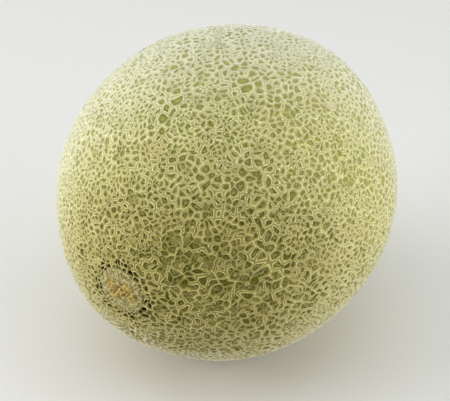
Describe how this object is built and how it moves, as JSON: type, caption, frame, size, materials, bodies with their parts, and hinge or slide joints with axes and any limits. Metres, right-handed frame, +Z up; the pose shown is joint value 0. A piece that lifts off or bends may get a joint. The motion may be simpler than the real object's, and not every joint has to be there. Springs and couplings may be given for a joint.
{
  "type": "cantaloupe melon",
  "caption": "Whole netted cantaloupe melon, slightly longer than wide, with a raised corky net and a round stem scar, lying on a small flat ground spot.",
  "frame": {"origin": "middle of the flat ground spot that the melon lies on, at the bottom of its box", "axes": "+Z up, away from the surface it lies on; Y along the melon's level long axis, with the stem scar at -Y and the blossom end at +Y"},
  "size_m": [0.1402, 0.1572, 0.1374],
  "materials": {
    "rind": "matte dry netted rind: straw-coloured cork cords over yellow-green skin"
  },
  "bodies": {
    "root": {"melon": "rind"}
  },
  "joints": []
}
